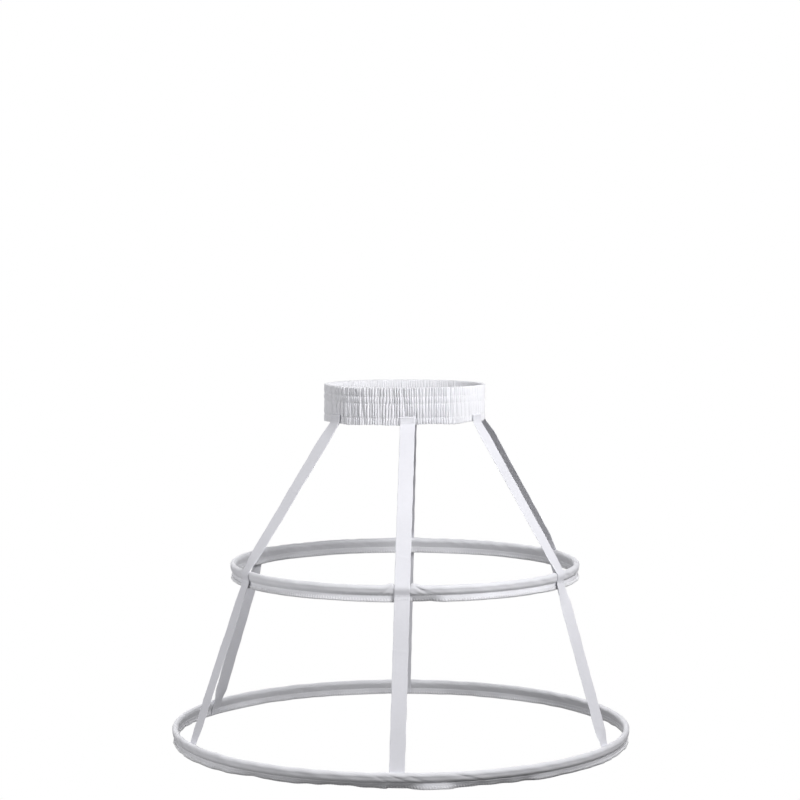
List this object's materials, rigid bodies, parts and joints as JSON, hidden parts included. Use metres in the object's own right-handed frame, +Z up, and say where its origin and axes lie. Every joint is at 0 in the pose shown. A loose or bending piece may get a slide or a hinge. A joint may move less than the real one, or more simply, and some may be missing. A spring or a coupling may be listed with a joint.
{
  "type": "crinoline cage",
  "caption": "Open crinoline cage: gathered elastic waistband, flat straps and cased hoops of growing size that hold a skirt out into a bell.",
  "frame": {"origin": "centre of the waist opening, half way up the waistband", "axes": "+Z up through the waist opening, the wearer's front faces -Y, the wearer's left is +X"},
  "size_m": [0.6282, 0.6281, 0.4894],
  "materials": {
    "band_cloth": "white woven cotton, finely gathered",
    "strap_tape": "white woven tape with close selvedges",
    "casing_cloth": "white non-woven bias casing, overlocked at its edge",
    "elastic": "ribbed white elastic",
    "coated_rod": "smooth white coating over spring steel",
    "joiner_steel": "plain crimped steel"
  },
  "bodies": {
    "root": {"waistband": "band_cloth", "waist_elastic": "elastic", "strap_front": "strap_tape", "strap_front_left": "strap_tape", "strap_back_left": "strap_tape", "strap_back": "strap_tape", "strap_back_right": "strap_tape", "strap_front_right": "strap_tape", "upper_casing": "casing_cloth", "upper_hoop": "coated_rod", "upper_joiner": "joiner_steel", "lower_casing": "casing_cloth", "lower_hoop": "coated_rod", "lower_joiner": "joiner_steel"}
  },
  "joints": []
}
